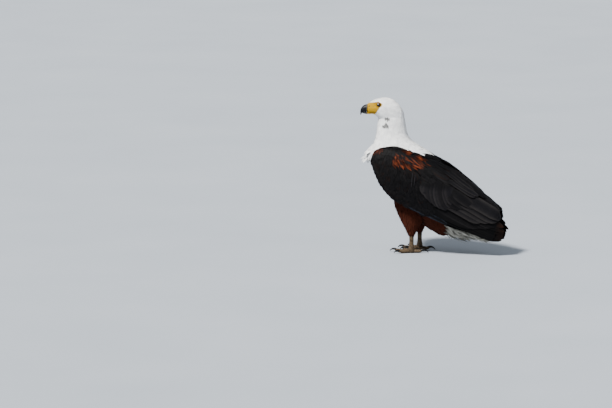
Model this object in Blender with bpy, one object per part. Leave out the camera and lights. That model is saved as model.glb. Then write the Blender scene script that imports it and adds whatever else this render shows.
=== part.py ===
"""A life-size African fish eagle, standing with folded wings, as a still museum model.

The bird faces -Y with its left side towards +X, and its toes stand on the plane Z = 0.
Every named size below is in millimetres; MM turns it into Blender's metres.
The body and each wing are lofted whole and then parted with thin cuts, and a piece that lies
against another is carved by a slightly grown copy of it, so that no two pieces overlap.
"""
import math

import bmesh
import bpy
from mathutils import Matrix, Vector

MM = 0.001
GAP = 0.3  # between pieces that touch
LEFT, RIGHT = 1, -1  # the sign of X on each side of the bird
SIDES = {"left": LEFT, "right": RIGHT}

# ---- driving dimensions, mm ------------------------------------------------------------------
HEAD_YAW = 22.0  # degrees that the head is turned to the bird's left
HEAD_PIVOT = (0.0, -93.0, 466.0)
EYE_RADIUS = 9.0
EYE_PLACE = (35.0, 22.0, 28.0)  # in the head's own frame: forward, to the side, up
CERE_LENGTH = 7.0
FOOT_SPREAD = 38.0  # from the midline to each foot
FOOT_Y = {"left": -1.0, "right": 8.0}
TARSUS_RADIUS = 7.4
TOE_PRESS = 0.5  # how far a toe's pads are flattened by the ground
CLAW_LIFT = 1.0  # clearance under the claws

# Ribs of the body from the top of the neck to the vent: the ventral point and the dorsal point
# in the plane of symmetry (y, z), the half width, and the turn towards the head's yaw.
BODY_RIBS = [
    (-120, 480, -58, 488, 27, 22),
    (-128, 432, -37, 447, 36, 20),
    (-133, 388, -28, 399, 45, 12),
    (-145, 357, -12, 372, 58, 4),
    (-172, 327, 26, 350, 70, 0),
    (-151, 296, 60, 330, 77, 0),
    (-128, 248, 96, 301, 80, 0),
    (-104, 206, 128, 271, 79, 0),
    (-71, 168, 148, 240, 75, 0),
    (-33, 130, 162, 212, 66, 0),
    (17, 98, 170, 187, 54, 0),
    (64, 69, 170, 162, 42, 0),
    (98, 54, 164, 140, 30, 0),
    (120, 64, 154, 122, 15, 0),
]
# Ribs of the head, in its own frame: forward, top, bottom, half width.
HEAD_RIBS = [
    (-53, -2, -32, 17),
    (-40, 21, -54, 31.5),
    (-18, 42, -57, 36),
    (6, 49, -45, 36.5),
    (27, 47.5, -25, 34),
    (43, 43, -10.5, 29.5),
    (57, 36.5, -4.5, 22.5),
    (68, 30, -2, 15.5),
]
# Ribs of the bill in the head's frame: tomium (forward, up), culmen (forward, up), half width.
UPPER_BILL_RIBS = [
    (64, 2.5, 65, 29.5, 14),
    (74, 1.5, 76, 26.5, 12),
    (82, 1, 85, 21.5, 9.8),
    (87, -0.5, 91, 14, 7.2),
    (89, -3.5, 93.5, 5.5, 4.8),
    (90.5, -6, 93.4, -2.5, 2.8),
    (91.8, -9.2, 93, -8.6, 0.9),
]
LOWER_BILL_RIBS = [
    (60, -6.5, 60, 1.8, 12.5),
    (73, -5.4, 74, 0.9, 10.5),
    (81, -4, 82, 0.4, 7.5),
    (86, -2.6, 86.5, -0.8, 4),
]
# Ribs of the tail with its coverts: under and upper points in the plane of symmetry, half width.
TAIL_RIBS = [
    (92, 70, 84, 150, 28),
    (130, 56, 136, 124, 35),
    (168, 59, 184, 98, 40),
    (210, 58, 224, 79, 42),
    (244, 52, 251, 62, 41),
    (262, 47, 265, 52, 34),
]
# Ribs of a folded wing: upper edge (y, |x|, z), lower edge (y, z), greatest |x|, thickness.
WING_RIBS = [
    (-126, 68, 343, -134, 314, 82, 9),
    (-103, 65, 357, -123, 286, 91, 18),
    (-56, 60, 363, -99, 241, 96, 25),
    (-8, 46, 352, -66, 200, 97, 29),
    (42, 29, 334, -18, 170, 95, 30),
    (90, 16, 312, 32, 145, 91, 28),
    (133, 11, 285, 86, 121, 85, 23),
    (177, 9, 251, 137, 98, 76, 17),
    (218, 8, 217, 186, 83, 65, 12),
    (256, 7, 187, 236, 68, 53, 9),
    (284, 7, 163, 274, 53, 44, 6),
    (296, 8, 139, 296, 45, 38, 5),
    (304, 10, 108, 308, 48, 33, 3.5),
]
# Ribs of a feathered thigh: centre y, |x|, z, half length along y, half width along x.
THIGH_RIBS = [
    (2, 34, 205, 58, 22),
    (-5, 38, 174, 60, 27),
    (-3, 39, 138, 49, 27),
    (0, 39, 102, 33, 20),
    (-1, 38.5, 76, 17.5, 13.5),
    (-1, 38, 57, 10, 9.5),
]
# Toes: heading in degrees from straight ahead towards the midline, length, pads, claw length.
TOES = {
    "middle": (2, 56, 3, 27),
    "inner": (38, 42, 2, 29),
    "outer": (-36, 46, 3, 24),
    "hind": (172, 34, 2, 32),
}
TOE_RADIUS_BASE, TOE_RADIUS_TIP = 6.6, 4.9

COLOURS = {
    "white_plumage": ((0.83, 0.83, 0.80), 0.85),
    "black_plumage": ((0.025, 0.024, 0.028), 0.65),
    "chestnut_plumage": ((0.16, 0.040, 0.018), 0.8),
    "yellow_skin": ((0.80, 0.50, 0.02), 0.45),
    "bill_horn": ((0.02, 0.022, 0.028), 0.3),
    "iris": ((0.10, 0.035, 0.012), 0.15),
    "leg_scales": ((0.50, 0.40, 0.22), 0.6),
    "claw_horn": ((0.015, 0.014, 0.015), 0.3),
}


# ---- scene and materials -----------------------------------------------------------------------
def clear_scene():
    for obj in list(bpy.data.objects):
        bpy.data.objects.remove(obj, do_unlink=True)


def new_collection(name):
    made = bpy.data.collections.new(name)
    bpy.context.scene.collection.children.link(made)
    return made


def make_materials():
    made = {}
    for name, (colour, roughness) in COLOURS.items():
        material = bpy.data.materials.new(name)
        material.use_nodes = True
        shader = material.node_tree.nodes["Principled BSDF"]
        shader.inputs["Base Color"].default_value = (*colour, 1.0)
        shader.inputs["Roughness"].default_value = roughness
        shader.inputs["Metallic"].default_value = 0.0
        made[name] = material
    return made


# ---- lofting -------------------------------------------------------------------------------------
def smooth_rows(rows, steps):
    """The rows with steps - 1 more between each two, on a Catmull-Rom curve through them."""
    found = []
    last = len(rows) - 1
    for i in range(last):
        before, here = rows[max(i - 1, 0)], rows[i]
        there, after = rows[i + 1], rows[min(i + 2, last)]
        for k in range(steps):
            t = k / steps
            found.append(
                [
                    0.5 * (2 * b + (c - a) * t + (2 * a - 5 * b + 4 * c - d) * t**2
                           + (3 * b - a - 3 * c + d) * t**3)
                    for a, b, c, d in zip(before, here, there, after)
                ]
            )
    return found + [list(rows[last])]


def loft(rings):
    """A closed bmesh through rings with the same number of points, in millimetres."""
    mesh = bmesh.new()
    made = [[mesh.verts.new(Vector(point) * MM) for point in ring] for ring in rings]
    count = len(rings[0])
    for ring, following in zip(made, made[1:]):
        for k in range(count):
            after = (k + 1) % count
            mesh.faces.new((ring[k], ring[after], following[after], following[k]))
    mesh.faces.new(made[0])
    mesh.faces.new(made[-1])
    bmesh.ops.recalc_face_normals(mesh, faces=mesh.faces)
    # A bent quad splits one way in a piece and the other way in its cutter, so split it here.
    bmesh.ops.triangulate(mesh, faces=mesh.faces)
    return mesh


def powered(value, exponent):
    return math.copysign(abs(value) ** exponent, value)


def rib_ring(low, high, half_width, count, square=2.0, yaw=0.0):
    """An upright oval ring from low to high, points of the plane of symmetry as (y, z).

    square is the exponent of the superellipse, and yaw turns the ring about the vertical.
    """
    centre = Vector((0, (low[0] + high[0]) / 2, (low[1] + high[1]) / 2))
    half = Vector((0, (high[0] - low[0]) / 2, (high[1] - low[1]) / 2))
    turn = Matrix.Rotation(math.radians(yaw), 3, "Z")
    ring = []
    for k in range(count):
        angle = 2 * math.pi * k / count
        up = powered(math.sin(angle), 2 / square)
        side = powered(math.cos(angle), 2 / square)
        ring.append(centre + turn @ (half * up + Vector((half_width * side, 0, 0))))
    return ring


def kept_side(mesh, point, normal):
    """Cuts the mesh by a plane, keeps the side that the normal points to, and closes the cut."""
    geometry = mesh.verts[:] + mesh.edges[:] + mesh.faces[:]
    cut = bmesh.ops.bisect_plane(
        mesh, geom=geometry, plane_co=Vector(point) * MM, plane_no=normal, clear_inner=True
    )
    edges = [e for e in cut["geom_cut"] if isinstance(e, bmesh.types.BMEdge)]
    bmesh.ops.holes_fill(mesh, edges=edges, sides=0)
    bmesh.ops.recalc_face_normals(mesh, faces=mesh.faces)
    return mesh


def parted(mesh, point, normal):
    """The two halves of a mesh on either side of a plane, with the gap between them."""
    normal = Vector(normal).normalized()
    behind = mesh.copy()
    ahead_of = Vector(point) + normal * GAP / 2
    short_of = Vector(point) - normal * GAP / 2
    return kept_side(mesh, ahead_of, normal), kept_side(behind, short_of, -normal)


class Workshop:
    """Turns bmeshes into named objects, and carves them with grown copies of their neighbours."""

    def __init__(self):
        self.parts = new_collection("african_fish_eagle")
        self.cutters = new_collection("cutters")
        self.materials = make_materials()

    def part(self, name, mesh, material, matrix=None):
        obj = self._object(name, mesh, self.parts, matrix)
        obj.data.materials.append(self.materials[material])
        return obj

    def grown(self, name, mesh, matrix=None, by=GAP):
        """A hidden cutter of the mesh's shape, larger by the gap all round."""
        obj = self._object("cutter_" + name, mesh, self.cutters, matrix)
        obj.hide_render = True
        obj.display_type = "WIRE"
        swell = obj.modifiers.new("swell", "DISPLACE")
        swell.mid_level = 0.0
        swell.strength = by * MM
        return obj

    def carve(self, obj, *cutters):
        for cutter in cutters:
            cut = obj.modifiers.new("cut_by_" + cutter.name, "BOOLEAN")
            cut.operation = "DIFFERENCE"
            cut.solver = "EXACT"
            cut.object = cutter

    def _object(self, name, mesh, collection, matrix):
        data = bpy.data.meshes.new(name)
        mesh.to_mesh(data)
        mesh.free()
        data.shade_smooth()
        data.set_sharp_from_angle(angle=math.radians(40))
        obj = bpy.data.objects.new(name, data)
        collection.objects.link(obj)
        if matrix is not None:
            obj.matrix_world = matrix
        return obj


# ---- head ---------------------------------------------------------------------------------------
def head_matrix():
    """From the head's frame, where forward is +Y, to the bird's, where it is -Y."""
    turn = Matrix.Rotation(math.radians(180 + HEAD_YAW), 4, "Z")
    return Matrix.Translation(Vector(HEAD_PIVOT) * MM) @ turn


def head_mesh():
    """The skull with its short feathers, flattened a little on the crown."""
    rings = []
    for forward, top, bottom, half_width in smooth_rows(HEAD_RIBS, 2):
        rings.append(rib_ring((forward, bottom), (forward, top), half_width, 18, 2.35))
    return loft(rings)


def bill_mesh(ribs, steps, count):
    rings = []
    for y_low, z_low, y_high, z_high, half_width in smooth_rows(ribs, steps):
        rings.append(rib_ring((y_low, z_low), (y_high, z_high), half_width, count, 2.0))
    return loft(rings)


def make_head(shop):
    place = head_matrix()
    head = shop.part("head", head_mesh(), "white_plumage", place)
    for side, sign in SIDES.items():
        forward, out, up = EYE_PLACE
        eye_place = place @ Matrix.Translation(Vector((-sign * out, forward, up)) * MM)
        ball = bmesh.new()
        bmesh.ops.create_uvsphere(ball, u_segments=12, v_segments=8, radius=EYE_RADIUS * MM)
        socket = shop.grown("eye_" + side, ball.copy(), eye_place)
        shop.part("eye_" + side, ball, "iris", eye_place)
        shop.carve(head, socket)
    upper = bill_mesh(UPPER_BILL_RIBS, 2, 14)
    horn_start = (0, UPPER_BILL_RIBS[0][0] + CERE_LENGTH, 15)
    horn, cere = parted(upper, horn_start, (0, 1, 0.12))
    head_cutter = shop.grown("head", head_mesh(), place)
    cere_part = shop.part("cere", cere, "yellow_skin", place)
    shop.part("bill_upper", horn, "bill_horn", place)
    lower = shop.part("bill_lower", bill_mesh(LOWER_BILL_RIBS, 2, 10), "bill_horn", place)
    shop.carve(cere_part, head_cutter)
    upper_cutter = shop.grown("bill_upper", bill_mesh(UPPER_BILL_RIBS, 2, 14), place)
    shop.carve(lower, head_cutter, upper_cutter)
    return head_cutter


# ---- body and tail --------------------------------------------------------------------------------
def body_mesh():
    """Neck, breast, belly, back and vent as one form."""
    rings = []
    for y_low, z_low, y_high, z_high, half_width, yaw in smooth_rows(BODY_RIBS, 2):
        rings.append(rib_ring((y_low, z_low), (y_high, z_high), half_width, 20, 2.15, yaw))
    return loft(rings)


def make_body(shop, head_cutter):
    whole = body_mesh()
    neck, rest = parted(whole, (0, -80, 316), (0, -0.03, 1))
    trunk, undertail = parted(rest, (0, 52, 120), (0, -0.94, 0.34))
    neck_part = shop.part("neck", neck, "white_plumage")
    shop.carve(neck_part, head_cutter)
    shop.part("trunk", trunk, "chestnut_plumage")
    shop.part("undertail", undertail, "chestnut_plumage")
    return shop.grown("body", body_mesh())


def tail_mesh():
    """The closed tail with its coverts: an arched wedge, thin at the tip."""
    rings = []
    for y_low, z_low, y_high, z_high, half_width in smooth_rows(TAIL_RIBS, 2):
        rings.append(rib_ring((y_low, z_low), (y_high, z_high), half_width, 14, 2.4))
    return loft(rings)


def make_tail(shop, body_cutter):
    tail = shop.part("tail", tail_mesh(), "white_plumage")
    shop.carve(tail, body_cutter)
    return shop.grown("tail", tail_mesh())


# ---- wings ----------------------------------------------------------------------------------------
WING_ARC = math.radians(106)  # the section runs this far round, so its lower edge tucks in
WING_POINTS = 8  # on each of the outer and inner faces
WING_EDGE = 2.2  # thickness at the wing's edges


def wing_ring(row, side):
    """One closed crescent across the wing: out over the outer face and back under it."""
    top_y, top_x, top_z, low_y, low_z, widest, thick = row
    outer, inner = [], []
    for k in range(WING_POINTS):
        share = k / (WING_POINTS - 1)
        angle = WING_ARC * share
        fall = (1 - math.cos(angle)) / (1 - math.cos(WING_ARC))
        x = top_x + (widest - top_x) * max(math.sin(angle), 0) ** 0.85
        y = top_y + (low_y - top_y) * fall
        z = top_z + (low_z - top_z) * fall
        depth = WING_EDGE + (thick - WING_EDGE) * math.sin(math.pi * share) ** 0.6
        lean = math.radians(62) * (1 - share) ** 1.5
        outer.append((side * x, y, z))
        inner.append((side * (x - depth * math.cos(lean)), y, z - depth * math.sin(lean)))
    return outer + inner[::-1]


def wing_mesh(side):
    return loft([wing_ring(row, side) for row in smooth_rows(WING_RIBS, 2)])


def make_wings(shop, *neighbours):
    for name, side in SIDES.items():
        flight, coverts = parted(wing_mesh(side), (0, 92, 205), (0, 0.86, -0.51))
        secondaries, primaries = parted(flight, (0, 200, 132), (0, 0.36, 0.93))
        secondaries = kept_side(secondaries, (0, 289, 130), (0, -1, 0.06))
        for piece, mesh in (
            ("coverts", coverts), ("secondaries", secondaries), ("primaries", primaries)
        ):
            part = shop.part(f"wing_{name}_{piece}", mesh, "black_plumage")
            shop.carve(part, *neighbours)


# ---- legs and feet ----------------------------------------------------------------------------------
def oval_ring(centre, half_length, half_width, count):
    ring = []
    for k in range(count):
        angle = 2 * math.pi * k / count
        offset = Vector((half_width * math.cos(angle), half_length * math.sin(angle), 0))
        ring.append(Vector(centre) + offset)
    return ring


def thigh_mesh(name, side):
    """The feathered thigh and shin, which taper down to the bare tarsus."""
    foot_y = FOOT_Y[name]
    rings = []
    for y, x, z, half_length, half_width in smooth_rows(THIGH_RIBS, 2):
        share = 1 - (z - THIGH_RIBS[-1][2]) / (THIGH_RIBS[0][2] - THIGH_RIBS[-1][2])
        rings.append(oval_ring((side * x, y + foot_y * share, z), half_length, half_width, 12))
    return loft(rings)


def tarsus_mesh(name, side):
    """The bare lower leg, which widens into the ball of the foot."""
    x, y = side * FOOT_SPREAD, FOOT_Y[name]
    radius = TARSUS_RADIUS
    rows = [
        (64, radius * 0.85, radius * 0.85),
        (56, radius * 1.05, radius),
        (40, radius, radius * 0.92),
        (26, radius * 1.05, radius * 0.98),
        (17, radius * 1.35, radius * 1.4),
        (9, radius * 1.5, radius * 1.55),
        (3, radius * 1.3, radius * 1.35),
        (0, radius * 0.85, radius * 0.9),
    ]
    return loft([oval_ring((x, y, z), length, width, 10) for z, length, width in rows])


def toe_height(share, pads, radius):
    """Height of the toe's centreline: it dips at each pad and rises towards the claw."""
    lift = 0.65 * (1 - math.cos(2 * math.pi * pads * share))
    rise = 3.6 * max(share - 0.72, 0) / 0.28
    return radius - TOE_PRESS + lift + rise


def toe_mesh(base, heading, length, pads):
    """A toe along a level heading, with its pads pressed flat on the ground."""
    forward = Vector((math.cos(heading), math.sin(heading), 0))
    across = Vector((-forward.y, forward.x, 0))
    count, sections, rings = 8, 8, []
    for i in range(sections):
        share = i / (sections - 1)
        radius = TOE_RADIUS_BASE + (TOE_RADIUS_TIP - TOE_RADIUS_BASE) * share
        radius *= 1 + 0.05 * math.cos(2 * math.pi * pads * share)
        if i == sections - 1:
            radius *= 0.72
        centre = Vector(base) + forward * length * share
        centre.z = toe_height(share, pads, radius)
        ring = []
        for k in range(count):
            angle = 2 * math.pi * k / count
            point = centre + across * radius * math.cos(angle)
            point.z = max(centre.z + radius * math.sin(angle), 0.0)
            ring.append(point)
        rings.append(ring)
    return loft(rings)


def claw_mesh(base, heading, length):
    """A tapered claw on an arc that starts upwards and ends pointing at the ground."""
    start, end = math.radians(35), math.radians(-72)
    bend = length / (start - end)
    forward = Vector((math.cos(heading), math.sin(heading), 0))
    across = Vector((-forward.y, forward.x, 0))
    rings, sections, count = [], 6, 7
    place = Vector(base)
    for i in range(sections):
        share = i / (sections - 1)
        angle = start + (end - start) * share
        radius = 4.3 * (1 - share) ** 0.75 + 0.35
        up = Vector((0, 0, math.cos(angle))) - forward * math.sin(angle)
        at = place + bend * (
            forward * (math.sin(start) - math.sin(angle))
            + Vector((0, 0, math.cos(angle) - math.cos(start)))
        )
        ring = []
        for k in range(count):
            turn = 2 * math.pi * k / count
            point = at + across * radius * 0.85 * math.cos(turn) + up * radius * math.sin(turn)
            point.z = max(point.z, CLAW_LIFT)
            ring.append(point)
        rings.append(ring)
    return loft(rings)


def make_foot(shop, name, side):
    ground = Vector((side * FOOT_SPREAD, FOOT_Y[name], 0))
    tarsus_cutter = shop.grown("tarsus_" + name, tarsus_mesh(name, side))
    taken = []
    for toe, (towards_midline, length, pads, claw_length) in TOES.items():
        heading = -math.pi / 2 - side * math.radians(towards_midline)
        forward = Vector((math.cos(heading), math.sin(heading), 0))
        part = shop.part(
            f"toe_{name}_{toe}", toe_mesh(ground, heading, length, pads), "leg_scales"
        )
        shop.carve(part, tarsus_cutter, *taken)
        cutter = shop.grown(f"toe_{name}_{toe}", toe_mesh(ground, heading, length, pads))
        taken.append(cutter)
        base = ground + forward * (length - 2.5)
        base.z = toe_height(1.0, pads, TOE_RADIUS_TIP) + 0.6
        claw = shop.part(f"claw_{name}_{toe}", claw_mesh(base, heading, claw_length), "claw_horn")
        shop.carve(claw, cutter)


def make_legs(shop, body_cutter):
    cutters = []
    for name, side in SIDES.items():
        thigh = shop.part("thigh_" + name, thigh_mesh(name, side), "chestnut_plumage")
        shop.carve(thigh, body_cutter)
        thigh_cutter = shop.grown("thigh_" + name, thigh_mesh(name, side))
        tarsus = shop.part("tarsus_" + name, tarsus_mesh(name, side), "leg_scales")
        shop.carve(tarsus, thigh_cutter)
        make_foot(shop, name, side)
        cutters.append(thigh_cutter)
    return cutters


def centre_on_origin(shop):
    """Moves the whole bird so that the origin is the bottom centre of its bounding box."""
    graph = bpy.context.evaluated_depsgraph_get()
    ys = []
    for obj in shop.parts.objects:
        shape = obj.evaluated_get(graph).data
        ys += [(obj.matrix_world @ vertex.co).y for vertex in shape.vertices]
    middle = (min(ys) + max(ys)) / 2
    for obj in list(shop.parts.objects) + list(shop.cutters.objects):
        obj.location.y -= middle


def main():
    clear_scene()
    shop = Workshop()
    head_cutter = make_head(shop)
    body_cutter = make_body(shop, head_cutter)
    tail_cutter = make_tail(shop, body_cutter)
    thigh_cutters = make_legs(shop, body_cutter)
    make_wings(shop, body_cutter, tail_cutter, *thigh_cutters)
    centre_on_origin(shop)


main()
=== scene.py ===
"""Looks for the African fish eagle: one skin under a coat of solid feathers, on a pale floor."""
import collections
import math

import bmesh
import bpy
import numpy as np
from mathutils import Matrix, Vector
from mathutils.bvhtree import BVHTree


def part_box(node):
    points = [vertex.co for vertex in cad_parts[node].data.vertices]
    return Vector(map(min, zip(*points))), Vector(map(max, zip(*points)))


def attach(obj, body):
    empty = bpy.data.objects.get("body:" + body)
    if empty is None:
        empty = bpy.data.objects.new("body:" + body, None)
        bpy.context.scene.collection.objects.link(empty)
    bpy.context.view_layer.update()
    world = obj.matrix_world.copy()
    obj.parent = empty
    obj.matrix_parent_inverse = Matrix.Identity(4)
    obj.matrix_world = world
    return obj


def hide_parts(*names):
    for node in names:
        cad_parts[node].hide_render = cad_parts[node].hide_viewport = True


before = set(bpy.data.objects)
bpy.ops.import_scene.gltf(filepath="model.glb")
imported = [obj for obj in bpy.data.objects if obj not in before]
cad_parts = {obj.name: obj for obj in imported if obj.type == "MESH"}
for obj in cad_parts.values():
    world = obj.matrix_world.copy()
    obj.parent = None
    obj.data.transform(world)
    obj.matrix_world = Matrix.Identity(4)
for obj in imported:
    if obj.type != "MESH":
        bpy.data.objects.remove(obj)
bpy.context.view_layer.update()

SIDES = {"left": 1, "right": -1}
UP = Vector((0, 0, 1))
rng = np.random.default_rng(27)

# ---- places, from the frame ----


def centre(node):
    """The middle of a node's box."""
    low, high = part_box(node)
    return (Vector(low) + Vector(high)) / 2


FEET = (centre("tarsus_left") + centre("tarsus_right")) / 2
FEET.z = 0.0
EYES = {side: centre("eye_" + side) for side in SIDES}
HEAD_LEFT = (EYES["left"] - EYES["right"]).normalized()
HEAD_FORWARD = HEAD_LEFT.cross(UP)
HEAD_MIDDLE = (EYES["left"] + EYES["right"]) / 2  # between the eyes
EYE_RADIUS = 0.009
EYE_OPENING = math.radians(38)  # half the angle that the lids leave open


def eye_look(side):
    """The way an eye faces: outward and a little forward."""
    return (HEAD_LEFT * SIDES[side] + HEAD_FORWARD * 0.28 + UP * 0.02).normalized()


# The folded wing's own line, from wrist to tip, with its upward normal in the side plane.
WING_START = FEET + Vector((0, -0.133, 0.330))
WING_ALONG = Vector((0, 0.864, -0.503)).normalized()
WING_ACROSS = Vector((0, 0.503, 0.864)).normalized()

# ---- colours, linear ----
WHITE = np.array((0.90, 0.90, 0.88))
# The tail's white, painted much darker than the head's: painted shade under the body and the folded
# wings.
SHADED_TAIL_WHITE = np.array((0.29, 0.28, 0.24))
GREY_MARK = np.array((0.11, 0.11, 0.105))
BLACK = np.array((0.0020, 0.0019, 0.0024))
# Black at a feather's root: partly its darker down, partly painted shade under the feathers over it.
BLACK_ROOT_SHADE = np.array((0.0005, 0.0005, 0.0006))
BLACK_EDGE = np.array((0.0060, 0.0054, 0.0054))
PALE_EDGE = np.array((0.021, 0.019, 0.018))
# A bluish rim for the wing's lower edge: painted light, the sky's sheen on the feathers' edges.
PAINTED_SKY_RIM = np.array((0.016, 0.020, 0.028))
TIP_BROWN = np.array((0.014, 0.0055, 0.0030))
CHESTNUT = np.array((0.032, 0.0070, 0.0034))
# Chestnut at a feather's root: partly its darker down, partly painted shade under the feathers over
# it.
CHESTNUT_ROOT_SHADE = np.array((0.006, 0.0017, 0.0011))
CHESTNUT_EDGE = np.array((0.062, 0.0150, 0.0066))
SHOULDER = np.array((0.090, 0.0176, 0.0053))
YELLOW = np.array((0.37, 0.210, 0.0))
# Darker orange-brown along the brow: painted shade under the brow ridge.
BROW_SHADE = np.array((0.20, 0.085, 0.0))
LID = np.array((0.016, 0.006, 0.002))
# Dark along the gape and in the nostril: partly the gape's own dark line, partly painted shade in the
# groove and the hole.
GAPE_AND_NOSTRIL_SHADE = np.array((0.030, 0.012, 0.002))
IRIS = np.array((0.022, 0.0085, 0.0036))
PUPIL = np.array((0.0015, 0.0012, 0.0012))
HORN_BLACK = np.array((0.0040, 0.0044, 0.0062))
HORN_PALE = np.array((0.120, 0.105, 0.085))
CLAW_BLACK = np.array((0.006, 0.0055, 0.006))
LEG = np.array((0.115, 0.082, 0.048))
LEG_DARK = np.array((0.016, 0.011, 0.008))


# ---- small helpers ----
def smooth(edge0, edge1, value):
    """0 at the first edge to 1 at the second, with a soft start and end."""
    share = np.clip((value - edge0) / (edge1 - edge0), 0.0, 1.0)
    return share * share * (3 - 2 * share)


def unit(vectors):
    return vectors / np.maximum(np.linalg.norm(vectors, axis=-1, keepdims=True), 1e-9)


def mixed(first, second, share):
    """From the first colour at share 0 to the second at 1."""
    share = np.asarray(share)[..., None]
    return np.asarray(first) * (1 - share) + np.asarray(second) * share


def read(items, key, width=3, kind=float):
    """One property of all the vertices, edges or faces of a mesh, as rows of an array."""
    flat = np.empty(len(items) * width, kind)
    items.foreach_get(key, flat)
    return flat.reshape(-1, width)


def points_of(mesh):
    return read(mesh.vertices, "co")


def surface_of(mesh):
    """A mesh's points and their normals."""
    return points_of(mesh), read(mesh.vertex_normals, "vector")


def set_points(mesh, points):
    mesh.vertices.foreach_set("co", np.asarray(points).ravel())
    mesh.update()


def link(name, mesh):
    obj = bpy.data.objects.new(name, mesh)
    bpy.context.scene.collection.objects.link(obj)
    return obj


def edges_of(mesh):
    """The two ends of each edge, each way round."""
    ends = read(mesh.edges, "vertices", 2, np.int64)
    return np.concatenate([ends, ends[:, ::-1]])


def neighbours_mean(both, values):
    """The mean of each point's neighbours, for one column of values."""
    total = np.bincount(both[:, 0], weights=values[both[:, 1]], minlength=len(values))
    return total / np.bincount(both[:, 0], minlength=len(values))


def paint(mesh, colours):
    """Gives a mesh its tint, which the materials read."""
    layer = mesh.color_attributes.new("Tint", "FLOAT_COLOR", "POINT")
    rgba = np.ones((len(mesh.vertices), 4))
    rgba[:, :3] = colours
    layer.data.foreach_set("color", rgba.ravel())


def in_head(points):
    """Millimetres forward, left and up from the middle of the eyes, for an array of points."""
    offset = np.asarray(points) - HEAD_MIDDLE
    return np.stack([offset @ HEAD_FORWARD, offset @ HEAD_LEFT, offset[:, 2]], 1) * 1000


def in_wing(points):
    """Distance along the folded wing from its wrist, and height across it."""
    offset = np.asarray(points) - WING_START
    return offset @ WING_ALONG, offset @ WING_ACROSS


def tree_over(mesh):
    """A mesh's surface, for finding the nearest place on it."""
    corners = [vertex.co.copy() for vertex in mesh.vertices]
    return BVHTree.FromPolygons(corners, [tuple(face.vertices) for face in mesh.polygons])


def add_piece(name, mesh, material, slot, *nodes):
    """A mesh as one piece of the look, in place of the nodes given."""
    mesh.materials.clear()
    mesh.materials.append(material)
    mesh.shade_smooth()
    obj = link(name, mesh)
    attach(obj, "root")
    if nodes:
        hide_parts(*nodes)


def joined(nodes):
    """The given nodes in one bmesh, each of them closed."""
    shape = bmesh.new()
    for node in nodes:
        shape.from_mesh(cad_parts[node].data)
    bmesh.ops.remove_doubles(shape, verts=shape.verts, dist=1e-6)
    bmesh.ops.recalc_face_normals(shape, faces=shape.faces)
    shape.normal_update()
    return shape


def cut_off(shape, place, way):
    """Cuts a closed bmesh at a plane, keeps what lies beyond it that way, and closes the cut."""
    geometry = shape.verts[:] + shape.edges[:] + shape.faces[:]
    bmesh.ops.bisect_plane(shape, geom=geometry, plane_co=place, plane_no=way, clear_inner=True)
    bmesh.ops.contextual_create(shape, geom=[edge for edge in shape.edges if edge.is_boundary])
    bmesh.ops.recalc_face_normals(shape, faces=shape.faces)


SWELL = 0.0005  # a form grows by this before it is remeshed, and then shrinks by about as much


def remeshed(name, shape, voxel, rounds, swell=SWELL):
    """One smooth closed mesh round a bmesh of closed shapes, which is used up."""
    for vertex in shape.verts:
        vertex.co += vertex.normal * swell
    data = bpy.data.meshes.new(name + "_rough")
    shape.to_mesh(data)
    shape.free()
    rough = link(name + "_rough", data)
    remesh = rough.modifiers.new("remesh", "REMESH")
    remesh.mode = "VOXEL"
    remesh.voxel_size = voxel
    relax = rough.modifiers.new("relax", "SMOOTH")
    relax.factor = 0.5
    relax.iterations = rounds
    graph = bpy.context.evaluated_depsgraph_get()
    made = bpy.data.meshes.new_from_object(rough.evaluated_get(graph))
    made.name = name
    bpy.data.objects.remove(rough)
    bpy.data.meshes.remove(data)
    return made


def relax(mesh, rounds):
    """Smooths out facets and keeps the size: an outward step follows each inward one."""
    points = points_of(mesh)
    both = edges_of(mesh)
    for _ in range(rounds):
        for step in (0.50, -0.52):
            means = np.stack([neighbours_mean(both, axis) for axis in points.T], 1)
            points = points + step * (means - points)
    set_points(mesh, points)


def eased(mesh, values, rounds):
    """The least value nearby, smoothed, so that it changes slowly over a mesh."""
    both = edges_of(mesh)
    for _ in range(rounds):
        least = values.copy()
        np.minimum.at(least, both[:, 0], values[both[:, 1]])
        values = least
    for _ in range(rounds):
        values = neighbours_mean(both, values)
    return values


# ---- the face's markings ----
# Outline of the bare yellow face, forward and up from the middle of the eyes, in millimetres.
BARE_FACE = [
    (-12, 1), (-8, 6), (1, 9.5), (11, 8.2), (27, 4.5), (36, 1), (60, 6), (60, -44), (33, -38),
    (12, -33), (8, -27), (6, -22), (2.5, -16), (-1, -11), (-8, -5),
]
GAPE_LINE = [(9, -25.6), (18, -26.6), (30, -27.2), (46, -27.6)]
BROW_LINE = [(-12, 4.5), (-4, 8.6), (8, 7.6), (20, 4.6)]
NOSTRIL = [(29, -4.5), (31.5, -8.5)]
JAW_END = 0.033  # how far ahead of the eyes the lower bill's horn begins


def path_distance(points, path):
    """Distance in a path's plane from each point to the path."""
    corners = np.array(path, float)
    best = np.full(len(points), 1e9)
    for start, end in zip(corners[:-1], corners[1:]):
        along = end - start
        share = np.clip(((points - start) @ along) / (along @ along), 0, 1)
        best = np.minimum(best, np.linalg.norm(points - start - share[:, None] * along, axis=1))
    return best


def near_path(points, path, reach):
    """1 on a path, and fading away within about its reach."""
    return np.exp(-(path_distance(points, path) / reach) ** 2)


def signed_distance(points, outline):
    """Distance in the outline's plane, positive inside it."""
    corners = np.array(outline, float)
    inside = np.zeros(len(points), bool)
    for start, end in zip(corners, np.roll(corners, -1, axis=0)):
        spans = (start[1] > points[:, 1]) != (end[1] > points[:, 1])
        with np.errstate(divide="ignore", invalid="ignore"):
            cross = start[0] + (points[:, 1] - start[1]) / (end[1] - start[1]) * (end - start)[0]
        inside ^= spans & (points[:, 0] < cross)
    best = path_distance(points, outline + outline[:1])
    return np.where(inside, best, -best)


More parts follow.
